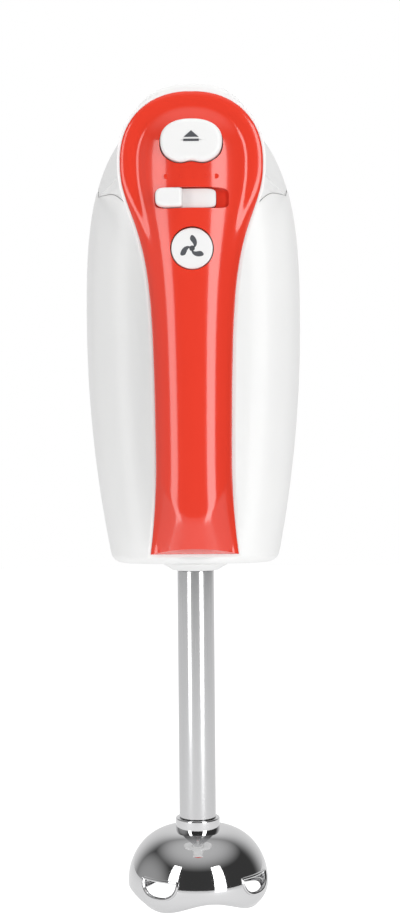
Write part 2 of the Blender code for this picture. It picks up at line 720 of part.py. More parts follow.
def motor_frame(steel, copper, brass, dark):
    low, high = STATOR_Z, STATOR_Z + STATOR_LENGTH
    half = STATOR_SIDE / 2
    core = add("stator_core", block((-half, half), (-half, half), (low, high)), steel)
    cut(core, rod(STATOR_BORE, low - 0.001, high + 0.001, 32), "bore")
    coil_in, coil_out = STATOR_BORE + 0.0010, STATOR_BORE + 0.0010 + COIL_WIDTH
    for name, side in (("front", 1), ("back", -1)):
        outer = half - 0.004
        near, far = sorted((side * coil_in, side * coil_out))
        coil = add(f"field_coil_{name}", block((-outer, outer), (near, far),
                                               (low - 0.006, high + 0.006)), copper)
        window = outer - COIL_WIDTH
        cut(coil, block((-window, window), (near - 0.001, far + 0.001), (low - 0.0006, high + 0.0006)),
            "pole_window")
        slots = [block(sorted((s * (window - GAP), s * (outer + GAP))), (near - GAP, far + GAP),
                       (low - 0.001, high + 0.001)) for s in (-1, 1)]
        cut(core, together(*slots), f"{name}_slots")
    for name, z in (("rear", REAR_BRACKET_Z), ("front", FRONT_BRACKET_Z)):
        bracket = add(f"{name}_bracket",
                      block((-BRACKET_HALF_WIDTH, BRACKET_HALF_WIDTH), (-0.019, 0.019),
                            (z, z + BRACKET_THICKNESS)), steel)
        cut(bracket, rod(BEARING_RADIUS + GAP, z - 0.001, z + BRACKET_THICKNESS + 0.001), "seat")
        middle = z + BRACKET_THICKNESS / 2
        add(f"{name}_bearing", sleeve(SHAFT_RADIUS + GAP, BEARING_RADIUS, middle - BEARING_LENGTH / 2,
                                      middle + BEARING_LENGTH / 2), brass)
    z = COMMUTATOR_Z + COMMUTATOR_LENGTH / 2
    tip = COMMUTATOR_RADIUS + CONTROL_GAP
    wide = BRUSH_SIDE / 2
    thick = wide + 0.0015
    for name, side in (("left", -1), ("right", 1)):
        xs = sorted((side * tip, side * (tip + BRUSH_LENGTH)))
        add(f"carbon_brush_{name}", block(xs, (-wide, wide), (z - wide, z + wide)), dark)
        xs = sorted((side * (tip + 0.002), side * (tip + BRUSH_LENGTH + 0.003)))
        holder = add(f"brush_holder_{name}",
                     block(xs, (-thick, thick), (z - thick, z + thick)), brass)
        hole = wide + GAP
        cut(holder, block((xs[0] - 0.001, xs[1] + 0.001), (-hole, hole), (z - hole, z + hole)), "channel")


def rotor(steel, copper, plastic, axis):
    upright = Matrix.Translation(at(0, 0, 0))
    shaft_low, shaft_high = SOCKET_TOP_Z - 0.001, GEARS_Z + WORM_LENGTH / 2 + 0.006
    add("rotor_shaft", rod(SHAFT_RADIUS, shaft_low, shaft_high, 16), steel, axis)
    inner = SHAFT_RADIUS + GAP
    teeth = [toothed_ring(ARMATURE_RADIUS, 0.004, 10, z, upright, 0.7)
             for z in (STATOR_Z, STATOR_Z + STATOR_LENGTH)]
    core = add("armature_core", loft(teeth), steel, axis, 25)
    cut(core, rod(inner, STATOR_Z - 0.001, STATOR_Z + STATOR_LENGTH + 0.001), "bore")
    for name, low in (("rear", STATOR_Z - 0.0053), ("front", STATOR_Z + STATOR_LENGTH + GAP)):
        profile = ((inner, low), (0.0095, low), (0.0115, low + 0.0012), (0.0115, low + 0.0038),
                   (0.0095, low + 0.005), (inner, low + 0.005))
        add(f"armature_winding_{name}", turned(profile), copper, axis)
    add("commutator", sleeve(inner, COMMUTATOR_RADIUS, COMMUTATOR_Z, COMMUTATOR_Z + COMMUTATOR_LENGTH, 24),
        copper, axis)
    fan = add("cooling_fan", sleeve(inner, FAN_RADIUS, FAN_Z, FAN_Z + 0.0015, 36), plastic, axis)
    blades = [toothed_ring(FAN_RADIUS - 0.001, FAN_RADIUS - 0.009, FAN_BLADES, z, upright, 0.1)
              for z in (FAN_Z + 0.001, FAN_Z + 0.009)]
    join(fan, loft(blades), "blades")
    cut(fan, rod(inner, FAN_Z - 0.001, FAN_Z + 0.010), "bore")


def worm(brass, axis):
    """A single-start worm: a round core with one raised thread that climbs as it goes round."""
    rings = []
    steps, around = 30, 12
    low = GEARS_Z - WORM_LENGTH / 2
    for k in range(steps + 1):
        z = low + WORM_LENGTH * k / steps
        ring = []
        for i in range(around):
            angle = math.tau * i / around
            crest = 0.5 + 0.5 * math.cos(angle - math.tau * (z - low) / WORM_PITCH)
            reach = WORM_RADIUS - 0.0016 * (1 - crest ** 2)
            ring.append(at(reach * math.cos(angle), -reach * math.sin(angle), z))
        rings.append(ring)
    obj = add("worm", loft(rings), brass, axis)
    cut(obj, rod(SHAFT_RADIUS + GAP, low - 0.001, low + WORM_LENGTH + 0.001), "bore")


def drive_coupling(plastic, axis):
    """A square socket on the motor shaft that turns the stick's shaft."""
    low = SOCKET_TOP_Z - 0.0105
    cup = add("drive_coupling", rod(0.0085, low, REAR_BRACKET_Z - 0.004, 20), plastic, axis)
    cut(cup, block((-0.0032, 0.0032), (-0.0032, 0.0032), (low - 0.001, low + 0.0078)), "square_socket")
    cut(cup, rod(SHAFT_RADIUS + GAP, low + 0.0092, REAR_BRACKET_Z), "shaft_seat")


def gear_parts(plastic, steel, brass, axes):
    for name, out in zip(("gearbox_frame", "gearbox_cover"), GEAR_PLATE_OUTS):
        far = out + GEAR_PLATE_THICKNESS
        plate = add(name, block((-0.031, 0.031), (out, far), (GEARS_Z - 0.013, GEARS_Z + 0.013)), steel)
        holes = [rod(SPINDLE_RADIUS + GAP, out - 0.001, far + 0.001, 24,
                     facing_out(side * GEAR_SPACING, GEARS_Z)) for side in (-1, 1)]
        cut(plate, together(*holes), "spindle_holes")
    mouth = skin_out(GEAR_SPACING, GEARS_Z, -BODY_BACK) + 0.001
    for name, side, axis in (("left", -1, axes[0]), ("right", 1, axes[1])):
        place = facing_out(side * GEAR_SPACING, GEARS_Z)
        add(f"beater_spindle_{name}",
            sleeve(SPINDLE_BORE, SPINDLE_RADIUS, mouth, SPINDLE_TOP, 20, place), steel, axis)
        half = WHEEL_THICKNESS / 2
        teeth = [toothed_ring(WHEEL_RADIUS, 0.0016, WHEEL_TEETH, z, place, 0.4) for z in (-half, half)]
        wheel = add(f"worm_wheel_{name}", loft(teeth), plastic, axis, 25)
        cut(wheel, rod(SPINDLE_RADIUS + GAP, -half - 0.001, half + 0.001, 24, place), "bore")


# Stick


def bell_profile(inset):
    """(radius, height) from the neck down the outside to the rim, or with an inset, the hollow's."""
    dome_top = BELL_HEIGHT - NECK_HEIGHT
    shoulder = 0.0085
    points = []
    steps = 6
    for i in range(steps + 1):
        angle = math.pi / 2 * i / steps
        reach = (BELL_RADIUS - NECK_RADIUS) * math.sin(angle) ** 0.85
        drop = (dome_top - shoulder) * (1 - math.cos(angle)) ** 0.9
        points.append((NECK_RADIUS + reach - inset, dome_top - drop - 0.6 * inset))
    points.append((BELL_RADIUS - 0.0008 - inset, 0.0045))
    points.append((BELL_RADIUS - 0.0022 - inset, 0.0))
    return points


def bell_guard(mat):
    """The spun steel bell: dome and neck in one piece, a waved rim of four lobes and four vents."""
    outer = bell_profile(0)
    inner = bell_profile(BELL_WALL)
    tube = TUBE_RADIUS - TUBE_WALL - GAP
    top = ((NECK_RADIUS, BELL_HEIGHT), (tube, BELL_HEIGHT))
    profile = list(top[::-1]) + outer + inner[::-1][:-1] + [(tube, BELL_HEIGHT - NECK_HEIGHT - 0.002)]
    bm = turned(profile, 36)
    for vert in bm.verts:
        x, out = vert.co.x, AXIS_Y - vert.co.y
        low = max(BELL_HEIGHT * 0.26 - vert.co.z, 0.0) / (BELL_HEIGHT * 0.26)
        wave = 0.5 - 0.5 * math.cos(LOBES * (math.atan2(x, out) - LOBE_TURN))
        vert.co.z += LOBE_RISE * wave * low
    obj = add("bell_guard", bm, mat)
    vents = []
    for i in range(LOBES):
        turn = Matrix.Translation(at(0, 0, 0)) @ Matrix.Rotation(LOBE_TURN + math.tau * i / LOBES, 4, "Z")
        rings = []
        for reach in (0.020, 0.040):
            ring = [turn @ Vector((VENT_WIDTH / 2 * s, -reach, VENT_FLOOR + VENT_HEIGHT)) for s in (-1, 1)]
            for k in range(9):
                angle = math.pi * k / 8
                sag = (VENT_HEIGHT - 0.002) * (1 - bow(math.sin(angle), 2.6))
                ring.append(turn @ Vector((VENT_WIDTH / 2 * bow(math.cos(angle), 2.6), -reach,
                                           VENT_FLOOR + sag)))
            rings.append(ring)
        vents.append(loft(rings))
    cut(obj, together(*vents), "vents")


def stick_body(steel, plastic, rubber, axis):
    tube_low, tube_high = BELL_HEIGHT - NECK_HEIGHT - 0.0015, REAR_Z - COLLAR_HEIGHT - GAP
    add("stick_tube", sleeve(TUBE_RADIUS - TUBE_WALL, TUBE_RADIUS, BELL_HEIGHT + GAP, tube_high), steel, axis)
    low = REAR_Z - COLLAR_HEIGHT
    bush = STICK_SHAFT_RADIUS + GAP
    profile = ((0.0055, low), (COLLAR_RADIUS - 0.0030, low), (COLLAR_RADIUS, REAR_Z - 0.0014),
               (COLLAR_RADIUS, REAR_Z - GAP), (PLUG_RADIUS, REAR_Z - GAP),
               (PLUG_RADIUS, REAR_Z + PLUG_LENGTH - 0.0015), (PLUG_RADIUS - 0.0015, REAR_Z + PLUG_LENGTH),
               (0.0090, REAR_Z + PLUG_LENGTH), (0.0090, REAR_Z + 0.010), (0.0055, REAR_Z + 0.010))
    add("stick_cap", turned(profile, 32), plastic, axis)
    add("upper_bush", sleeve(bush, 0.0055 - GAP, low + 0.001, REAR_Z + 0.0095, 16), rubber, axis)
    tube_inside = TUBE_RADIUS - TUBE_WALL - GAP
    add("lower_bush", sleeve(bush, tube_inside, BELL_HEIGHT + 0.001, BELL_HEIGHT + 0.012, 20), plastic, axis)
    neck = TUBE_RADIUS - TUBE_WALL - 2 * GAP
    add("shaft_seal", sleeve(bush, neck, tube_low - 0.0005, BELL_HEIGHT - 0.0005, 20), rubber, axis)


def stick_shaft(steel, plastic, axis):
    top = REAR_Z + 0.0155
    hub_low = BLADE_LEVEL + BLADE_THICKNESS + GAP
    add("drive_shaft", rod(STICK_SHAFT_RADIUS, BLADE_LEVEL - 0.005, top - GAP, 16), steel, axis)
    tip = SOCKET_TOP_Z - 0.0035
    coupling = add("driven_coupling", rod(0.0078, REAR_Z + 0.0104, REAR_Z + 0.0150, 20), plastic, axis)
    join(coupling, block((-0.0027, 0.0027), (-0.0027, 0.0027), (REAR_Z + 0.0140, tip)), "square_dog")
    cut(coupling, rod(STICK_SHAFT_RADIUS + GAP, REAR_Z + 0.009, top, 16), "bore")
    inner = STICK_SHAFT_RADIUS + GAP
    add("blade_spacer", sleeve(inner, 0.0050, hub_low, BELL_HEIGHT - NECK_HEIGHT - 0.0030, 20), steel, axis)
    nut_high = BLADE_LEVEL - GAP
    across = 1 / math.cos(math.pi / 6)
    add("blade_nut", sleeve(inner * across, 0.0040 * across, nut_high - 0.0035, nut_high, 6), steel, axis)
    rings = []
    steps = 12
    for k in range(steps + 1):
        x = -BLADE_RADIUS + 2 * BLADE_RADIUS * k / steps
        side = math.copysign(1, x)
        share = max(abs(x) / BLADE_RADIUS - 0.25, 0.0) / 0.75
        lift = side * 0.0042 * share
        width = BLADE_WIDTH / 2 * (1 - 0.45 * share ** 2)
        tilt = 0.0012 * share
        rings.append([at(x, sign * width, BLADE_LEVEL + lift + side * sign * tilt + high)
                      for sign, high in ((-1, 0), (1, 0), (1, BLADE_THICKNESS), (-1, BLADE_THICKNESS))])
    blade = add("blade", loft(rings), steel, axis)
    cut(blade, rod(inner, BLADE_LEVEL - 0.002, BLADE_LEVEL + 0.004, 16), "bore")


def build():
    clear_scene()
    white = material("white_abs", (0.86, 0.85, 0.84), 0.18)
    red = material("red_abs", (0.72, 0.035, 0.02), 0.14)
    button_white = material("button_white", (0.84, 0.83, 0.82), 0.3)
    steel = material("polished_steel", (0.62, 0.61, 0.60), 0.12, 1.0)
    lamination = material("lamination_steel", (0.32, 0.33, 0.35), 0.5, 1.0)
    copper = material("enamelled_copper", (0.55, 0.24, 0.09), 0.35, 1.0)
    brass = material("sintered_bronze", (0.6, 0.43, 0.19), 0.4, 1.0)
    dark = material("dark_moulding", (0.03, 0.03, 0.032), 0.5)
    nylon = material("nylon", (0.75, 0.73, 0.66), 0.45)
    rubber = material("seal_rubber", (0.02, 0.02, 0.02), 0.7)
    board_green = material("board_laminate", (0.05, 0.2, 0.08), 0.5)

    motor_axis = axis_empty("motor_axis", at(0, 0, REAR_Z))
    stick_axis = axis_empty("stick_axis", at(0, 0, REAR_Z))
    shaft_axis = axis_empty("shaft_axis", at(0, 0, REAR_Z))
    beater_axes = [axis_empty(f"beater_axis_{name}", at(side * GEAR_SPACING, 0, GEARS_Z))
                   for name, side in (("left", -1), ("right", 1))]
    eject_axis = axis_empty("eject_axis", at(0, GRIP_FACE, EJECT_Z))
    slider_axis = axis_empty("slider_axis", at(-SWITCH_TRAVEL / 2, GRIP_FACE, SLOT_Z))
    blend_axis = axis_empty("blend_axis", at(0, GRIP_FACE, BLEND_Z))

    base_shell(white)
    upper_housing(white)
    handle_shell(white)
    handle_cover(red)
    stick_socket(nylon)
    cord_gland(dark)
    screws(steel)
    control_parts(button_white, dark, board_green)
    spring("eject_spring", steel, 0.0048, 0.0005, GUIDE_OUT + GUIDE_THICKNESS + 0.0005, BUTTON_BASE - 0.0005,
           5, 0, EJECT_Z)
    spring("blend_spring", steel, 0.0032, 0.0004, SWITCH_OUT + BLEND_SWITCH_HEIGHT + GAP, BLEND_BASE - GAP,
           2, 0, BLEND_Z)
    eject_parts(button_white, nylon, eject_axis)
    speed_knob(button_white, slider_axis)
    blend_button(button_white, blend_axis)
    motor_frame(lamination, copper, brass, dark)
    rotor(lamination, copper, nylon, motor_axis)
    worm(brass, motor_axis)
    drive_coupling(nylon, motor_axis)
    gear_parts(nylon, steel, brass, beater_axes)
    bell_guard(steel)
    stick_body(steel, white, rubber, stick_axis)
    stick_shaft(steel, nylon, shaft_axis)


build()
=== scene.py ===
"""Two-in-one hand mixer with a plug-in blending stick: smooth casings, finishes, light and camera.

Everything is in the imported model's frame: metres, +Z up the motor axis, the handle towards -Y.
"""

import json
import math

import bmesh
import bpy
from mathutils import Matrix, Vector


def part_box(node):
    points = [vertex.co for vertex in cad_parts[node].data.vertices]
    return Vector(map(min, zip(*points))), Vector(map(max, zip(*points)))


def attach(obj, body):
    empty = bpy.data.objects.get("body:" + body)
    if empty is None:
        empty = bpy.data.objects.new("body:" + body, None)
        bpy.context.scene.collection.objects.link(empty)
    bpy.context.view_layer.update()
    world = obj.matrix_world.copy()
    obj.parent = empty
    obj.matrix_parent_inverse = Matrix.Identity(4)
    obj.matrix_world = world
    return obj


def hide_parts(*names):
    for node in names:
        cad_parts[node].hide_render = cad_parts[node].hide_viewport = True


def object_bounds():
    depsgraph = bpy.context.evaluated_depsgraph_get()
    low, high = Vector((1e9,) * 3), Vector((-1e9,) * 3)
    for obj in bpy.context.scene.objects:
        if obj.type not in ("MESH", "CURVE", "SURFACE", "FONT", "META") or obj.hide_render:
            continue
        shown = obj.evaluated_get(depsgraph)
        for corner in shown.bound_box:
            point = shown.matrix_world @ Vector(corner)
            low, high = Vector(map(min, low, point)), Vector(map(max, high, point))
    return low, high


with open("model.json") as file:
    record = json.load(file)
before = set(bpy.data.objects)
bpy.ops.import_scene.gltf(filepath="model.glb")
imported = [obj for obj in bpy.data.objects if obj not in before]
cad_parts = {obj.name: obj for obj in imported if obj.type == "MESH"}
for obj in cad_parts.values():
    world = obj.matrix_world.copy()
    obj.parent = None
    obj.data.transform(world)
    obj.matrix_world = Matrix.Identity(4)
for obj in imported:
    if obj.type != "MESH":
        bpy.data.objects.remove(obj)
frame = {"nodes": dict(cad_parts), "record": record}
cad_low, cad_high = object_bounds()

# Red handle cover: one injection-moulded gloss ABS shell that snaps onto the grip. It has openings for
# the eject button, the speed slide and the blend button, a crowned face, and a creased flare at its
# lower end.

tube_low, tube_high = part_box("stick_tube")
axis_y = (tube_low.y + tube_high.y) / 2
cover_low, cover_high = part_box("handle_cover")
cover_half = cover_high.x                       # at the head
cover_seat = axis_y - cover_high.y              # stick axis to the joint under the cover
cover_face = axis_y - cover_low.y
cover_wall = 0.0024
head_rise = 0.028
head_z = cover_high.z - head_rise
waist_half = 0.0149
rear_flare = 0.0025
end_fall = 0.16                                # slope of the facet below the crease
crease_apex = cover_low.z + 0.0135
crease_rise = 0.021
crown_width, crown_drop = 0.76, 0.84           # the dome's share of the head, and how far it falls there
end_arch = 0.0024                               # the lower edge's middle stands this much above its corners
arch_height = 0.012
crease_round = 0.0006


def at(x, out, z):
    """The point x to the side, out from the stick axis towards the handle, at height z."""
    return Vector((x, axis_y - out, z))


def bow(value, squareness):
    return math.copysign(abs(value) ** (2 / squareness), value)


def ease(share):
    share = min(max(share, 0.0), 1.0)
    return share * share * (3 - 2 * share)


def skin(rings, close=True):
    """A surface bridged over outlines of equal count, closed at both ends."""
    bm = bmesh.new()
    loops = []
    for ring in rings:
        verts = [bm.verts.new(point) for point in ring]
        loops.append([bm.edges.new(ends) for ends in zip(verts, verts[1:] + verts[:1])])
    for first, second in zip(loops, loops[1:]):
        bmesh.ops.bridge_loops(bm, edges=first + second)
    if close:
        bmesh.ops.contextual_create(bm, geom=loops[0])
        bmesh.ops.contextual_create(bm, geom=loops[-1])
    bmesh.ops.recalc_face_normals(bm, faces=bm.faces)
    return bm


def mesh_object(name, bm):
    mesh = bpy.data.meshes.new(name)
    bm.to_mesh(mesh)
    bm.free()
    obj = bpy.data.objects.new(name, mesh)
    bpy.context.collection.objects.link(obj)
    return obj


def carve(obj, bm, operation="DIFFERENCE"):
    """Cuts a shape out of a piece, or joins it on, and keeps the result as the piece's own mesh."""
    tool = mesh_object("tool", bm)
    modifier = obj.modifiers.new("carve", "BOOLEAN")
    modifier.operation = operation
    modifier.object = tool
    bpy.context.view_layer.update()
    result = bpy.data.meshes.new_from_object(obj.evaluated_get(bpy.context.evaluated_depsgraph_get()))
    obj.modifiers.clear()
    spent, obj.data = obj.data, result
    bpy.data.meshes.remove(spent)
    bpy.data.objects.remove(tool)


def finish(obj, mat, body, slot, *nodes, sharp=32):
    """Smooths a piece's shading, gives it its material and fixes it to its body."""
    obj.data.materials.clear()
    obj.data.materials.append(mat)
    obj.data.shade_smooth()
    obj.data.set_sharp_from_angle(angle=math.radians(sharp))
    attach(obj, body)
    if nodes:
        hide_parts(*nodes)
    return obj


def linear(colour):
    """An sRGB hex colour as linear values."""
    parts = [int(colour[i:i + 2], 16) / 255 for i in (1, 3, 5)]
    return (*[c / 12.92 if c <= 0.04045 else ((c + 0.055) / 1.055) ** 2.4 for c in parts], 1.0)


def node(tree, kind, settings=(), **links):
    """Adds a shader node with its settings, and links or values for the named inputs."""
    new = tree.nodes.new(kind)
    for key, value in settings:
        setattr(new, key, value)
    for key, value in links.items():
        socket = new.inputs[key.replace("_", " ")]
        if isinstance(value, bpy.types.NodeSocket):
            tree.links.new(value, socket)
        else:
            socket.default_value = value
    return new


def moulded(name, colour, deeper, roughness, grain_mm, grain_depth=0.00001, coat=0.0, metallic=0.0):
    """A moulded or machined finish: a faint drift of colour and a fine grain in the surface."""
    mat = bpy.data.materials.new(name)
    mat.use_nodes = True
    tree = mat.node_tree
    shader = tree.nodes["Principled BSDF"]
    place = node(tree, "ShaderNodeTexCoord").outputs["Object"]
    drift = node(tree, "ShaderNodeTexNoise", Vector=place, Scale=25.0, Detail=2.0)
    tint = node(tree, "ShaderNodeMix", [("data_type", "RGBA")])
    for socket in tint.inputs:
        if socket.type == "RGBA":
            socket.default_value = linear(colour if socket.name == "A" else deeper)
    tree.links.new(drift.outputs["Fac"], tint.inputs["Factor"])
    colour_out = next(socket for socket in tint.outputs if socket.type == "RGBA")
    tree.links.new(colour_out, shader.inputs["Base Color"])
    grain = node(tree, "ShaderNodeTexNoise", Vector=place, Scale=1000 / grain_mm, Detail=3.0)
    bump = node(tree, "ShaderNodeBump", Height=grain.outputs["Fac"], Distance=grain_depth, Strength=0.5)
    tree.links.new(bump.outputs["Normal"], shader.inputs["Normal"])
    shader.inputs["Roughness"].default_value = roughness
    shader.inputs["Metallic"].default_value = metallic
    shader.inputs["Coat Weight"].default_value = coat
    shader.inputs["Coat Roughness"].default_value = 0.04
    return mat


def narrowing(share):
    """How much of the head's extra width is left, by the share of the way down the handle."""
    return 1 / (1 + (max(share, 0.0) / 0.18) ** 2.5)


def doming(share):
    """How far the cover's section has turned from the grip's ellipse into the head's dome."""
    return narrowing(share) ** 1.6


def cover_levels(grow, steps=90, turns=40):
    """(height, half width, share of full depth, dome) from the lower end to the top of the head."""
    levels = []
    for i in range(steps):
        share = 1 - i / steps
        z = head_z - share * (head_z - cover_low.z + grow)
        half_width = (waist_half + (cover_half - waist_half) * narrowing(share)
                      + rear_flare * (max(share - 0.75, 0.0) / 0.25) ** 2 + grow)
        levels.append((z, half_width, 1.0, doming(share)))
    for i in range(turns + 1):
        rise = math.sin(math.radians(87) * i / turns)
        share = (1 - rise ** 2.2) ** (1 / 2.2)
        levels.append((head_z + (head_rise + grow) * rise, (cover_half + grow) * share,
                       0.45 + 0.55 * share, 1.0))
    return levels


def face_out(x, z):
    """How far the cover's face stands from the axis: it falls away below a crease near its lower end."""
    crease = crease_apex + crease_rise * min(abs(x) / waist_half, 1.0) ** 2
    fall = math.sqrt(max(crease - z, 0.0) ** 2 + crease_round ** 2)
    return cover_face - end_fall * fall + end_fall * crease_round


def crown(x, z, half_width, dome, grow=0.0):
    """The share of the face's height at a point: oval across the grip, a dome with a brim at the head."""
    rise = max(z - head_z, 0.0) / (head_rise + grow)
    across = abs(x) / (cover_half + grow if rise else half_width)
    reach = min((across ** 2.2 + rise ** 2.2) ** (1 / 2.2), 1.0)
    domed = 1 - crown_drop * (reach / crown_width) ** 2
    brim = (1 - crown_drop) * math.sqrt(1 - max((reach - crown_width) / (1 - crown_width), 0.0) ** 2)
    turn = ease((reach - crown_width + 0.14) / 0.28)
    return (1 - reach ** 2) ** 0.62 * (1 - dome) + (domed * (1 - turn) + brim * turn) * dome


def cover_form(grow, seat, count=96):
    rings = []
    for z, half_width, _, dome in cover_levels(grow):
        ring = []
        low_end = 1 - min((z - cover_low.z) / arch_height, 1.0)
        for i in range(count + 1):
            across = math.cos(math.pi * i / count)
            x = half_width * across
            share = crown(x, z, half_width, dome, grow) if 0 < i < count else 0.0
            out = cover_seat + (face_out(x, z) - cover_seat) * share + grow
            ring.append(at(x, max(out, seat + 0.0002) if 0 < i < count else seat,
                           z + end_arch * low_end * (1 - across ** 2)))
        rings.append(ring)
    return skin(rings)


red_abs = moulded("gloss_red_abs", "#ea402c", "#e43c2a", 0.16, 0.6, 0.000004, coat=0.5)

eject_low, eject_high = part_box("eject_button")
eject_z = (eject_low.z + eject_high.z) / 2
track_low, track_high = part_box("slide_track")
slot_z = (track_low.z + track_high.z) / 2
blend_low, blend_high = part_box("blend_button")
blend_z = (blend_low.z + blend_high.z) / 2
opening_gap = 0.0004
eject_notch, eject_notch_width = 0.0012, 0.0032


def bean_ring(grow, out):
    """The eject button's outline: an oval with a dent in the middle of its lower edge."""
    ring = []
    for i in range(96):
        angle = math.tau * i / 96
        x = (eject_high.x + grow) * bow(math.cos(angle), 2.3)
        z = ((eject_high.z - eject_low.z) / 2 + grow) * bow(math.sin(angle), 2.3)
        if z < 0:
            z += eject_notch * math.exp(-(x / eject_notch_width) ** 2)
        ring.append(at(x, out, eject_z + z))
    return ring


def slot_ring(half_width, half_height, out, x=0.0, count=64):
    return [at(x + half_width * bow(math.cos(math.tau * i / count), 7), out,
               slot_z + half_height * bow(math.sin(math.tau * i / count), 5)) for i in range(count)]


def round_ring(radius, x, z, out, count=64):
    return [at(x + radius * math.cos(math.tau * i / count), out, z + radius * math.sin(math.tau * i / count))
            for i in range(count)]


cover = mesh_object("cover", cover_form(0, cover_seat))
carve(cover, cover_form(-cover_wall, cover_seat - 0.001))
beyond = cover_face + 0.004
carve(cover, skin([bean_ring(opening_gap, out) for out in (cover_seat, beyond)]))
slot_half, slot_rise = track_high.x + 0.0003, (track_high.z - track_low.z) / 2 + 0.0003
carve(cover, skin([slot_ring(slot_half, slot_rise, out) for out in (cover_seat, beyond)]))
blend_hole = blend_high.x + opening_gap
carve(cover, skin([round_ring(blend_hole, 0, blend_z, out) for out in (cover_seat, beyond)]))
finish(cover, red_abs, "mixer_body", "red_gloss", "handle_cover")

# White casings: base shell, upper housing and handle shell, moulded in gloss white ABS and screwed
# together along the middle. The handle shell is one C-shaped moulding with a hood at the front and a
# flared column at the back.

shell_low, shell_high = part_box("base_shell")
upper_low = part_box("upper_housing")[0]
rear_z, nose_z = shell_low.z, shell_high.z + 0.0004
body_half_max = shell_high.x
body_back = shell_high.y - axis_y
body_front = axis_y - upper_low.y
widest_z = rear_z + 0.1065
rear_half = 0.0368
body_wall = 0.0025
end_radius = 0.004
casing_gap = 0.0003
handle_rim = 0.0012
grip_inner = 0.058
hood_reach = 0.0745
hood_floor, hood_neck_floor = 0.036, 0.028
hood_lip = 0.0035                               # head's widest level down to the seam at the side
hood_shoulder, hood_turn = 0.90, 0.6
hood_face = 0.004
column_half, column_top_half = 0.019, 0.0175
column_depth, column_top_depth = 0.043, 0.034
column_reach = 0.064


def nose_share(z):
    share = min((z - widest_z) / (nose_z - widest_z), 1.0)
    return (1 - share ** 2.9) ** (1 / 2.9)


def body_half_width(z):
    if z >= widest_z:
        return body_half_max * nose_share(z)
    return body_half_max - (body_half_max - rear_half) * ((widest_z - z) / (widest_z - rear_z)) ** 2


def depth_share(z):
    if z >= widest_z:
        share = min((z - widest_z) / (nose_z - widest_z), 1.0)
        return max(1 - share ** 4, 0.0) ** 0.5 * 0.88 + 0.12
    return 1 - 0.16 * ((widest_z - z) / (widest_z - rear_z)) ** 2


def half_ring(half_width, flat, reach, z, squareness, count=88):
    return [at(half_width * bow(math.cos(math.pi * i / count), squareness),
               flat + reach * bow(math.sin(math.pi * i / count), squareness), z) for i in range(count + 1)]


def body_half(flat, reach, top_z, inset=0.0):
    """One half of the body's form, or with an inset, the hollow within its wall."""
    side = math.copysign(1, reach)
    rear, nose = rear_z + inset, nose_z - inset
    levels = [rear + end_radius * (1 - math.cos(math.pi / 2 * i / 8)) for i in range(9)]
    levels += [rear + end_radius + (widest_z - rear - end_radius) * i / 30 for i in range(1, 31)]
    levels += [widest_z + (nose - 0.0004 - widest_z) * math.sin(math.pi / 2 * i / 40) for i in range(1, 41)]
    levels = [z for z in levels if z < top_z - 0.0005] + [min(top_z, nose - 0.0004)]
    rings = []
    for z in levels:
        half_width = body_half_width(min(z + (0.35 * inset if z > widest_z else 0), nose_z - 0.0003))
        rim = min((z - rear) / end_radius, 1.0)
        trim = end_radius * (1 - math.sqrt(1 - (1 - rim) ** 2))
        depth = abs(reach) * depth_share(z) - trim - inset
        rings.append(half_ring(max(half_width - trim - inset, 0.002), flat, side * depth, z, 3.0))
    return skin(rings)


def grip_form(grow, seat):
    rings = []
    for z, half_width, depth, _ in cover_levels(handle_rim + grow):
        reach = (cover_seat - grip_inner) * depth + grow + seat - cover_seat
        rings.append(half_ring(half_width, seat, -reach, z, 2.8, 56))
    return skin(rings)


def hood_form(grow, start, end, steps=24):
    """The front column: the nose's outline drawn in to the head's, with an arched lower edge."""
    rings = []
    head_half = cover_half + handle_rim
    for k in range(steps + 1):
        out = start + (end - start) * k / steps
        drawn = ease(out / hood_reach)
        half_width = body_half_width(head_z) * (1 - drawn) + head_half * drawn + grow
        rise = nose_z - head_z - 0.0004 - 0.0015 * drawn + grow
        floor = hood_floor + (hood_neck_floor - hood_floor) * ease(2 * out / hood_reach)
        ring = []
        for i in range(64):
            lift = math.sin(math.pi * i / 64)
            width = nose_share(head_z + (nose_z - head_z) * min(lift, 0.9995)) / nose_share(head_z)
            ring.append(at(math.copysign(half_width * width, math.cos(math.pi * i / 64)), out,
                           head_z + max(rise * lift, -hood_lip - grow)))
        for i in range(56):
            across = -math.cos(math.pi * i / 56)
            drop = floor * ease((hood_shoulder - abs(across)) / hood_turn)
            ring.append(at(half_width * across, out, head_z - hood_lip - drop - grow))
        rings.append(ring)
    return skin(rings)


def column_form(grow, start, end, count=72, steps=20):
    rings = []
    for k in range(steps + 1):
        share = k / steps
        drawn = share ** 0.6
        half_width = column_half + (column_top_half - column_half) * drawn + grow
        depth = column_depth + (column_top_depth - column_depth) * drawn
        foot = rear_z + 0.001 + (cover_low.z - rear_z - 0.001) * share
        rings.append([at(half_width * bow(math.cos(math.tau * i / count), 2.6), start + (end - start) * share,
                         foot + depth / 2 + (depth / 2 + grow) * bow(math.sin(math.tau * i / count), 2.6))
                      for i in range(count)])
    return skin(rings)


white_abs = moulded("gloss_white_abs", "#f5f5f4", "#f2f2f2", 0.36, 0.8, 0.000005, coat=0.12)
socket_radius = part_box("stick_socket")[1].x + casing_gap
hood_split = head_z - 0.0005


def post(radius, x, z, low, high, count=48):
    """A round cutter that runs out towards the handle."""
    return skin((round_ring(radius, x, z, low, count), round_ring(radius, x, z, high, count)))


def upright(radius, x, out, low, high, count=64):
    """A round cutter along the stick's axis."""
    turns = [math.tau * i / count for i in range(count)]
    return skin([[at(x + radius * math.cos(turn), out + radius * math.sin(turn), z) for turn in turns]
                 for z in (low, high)])


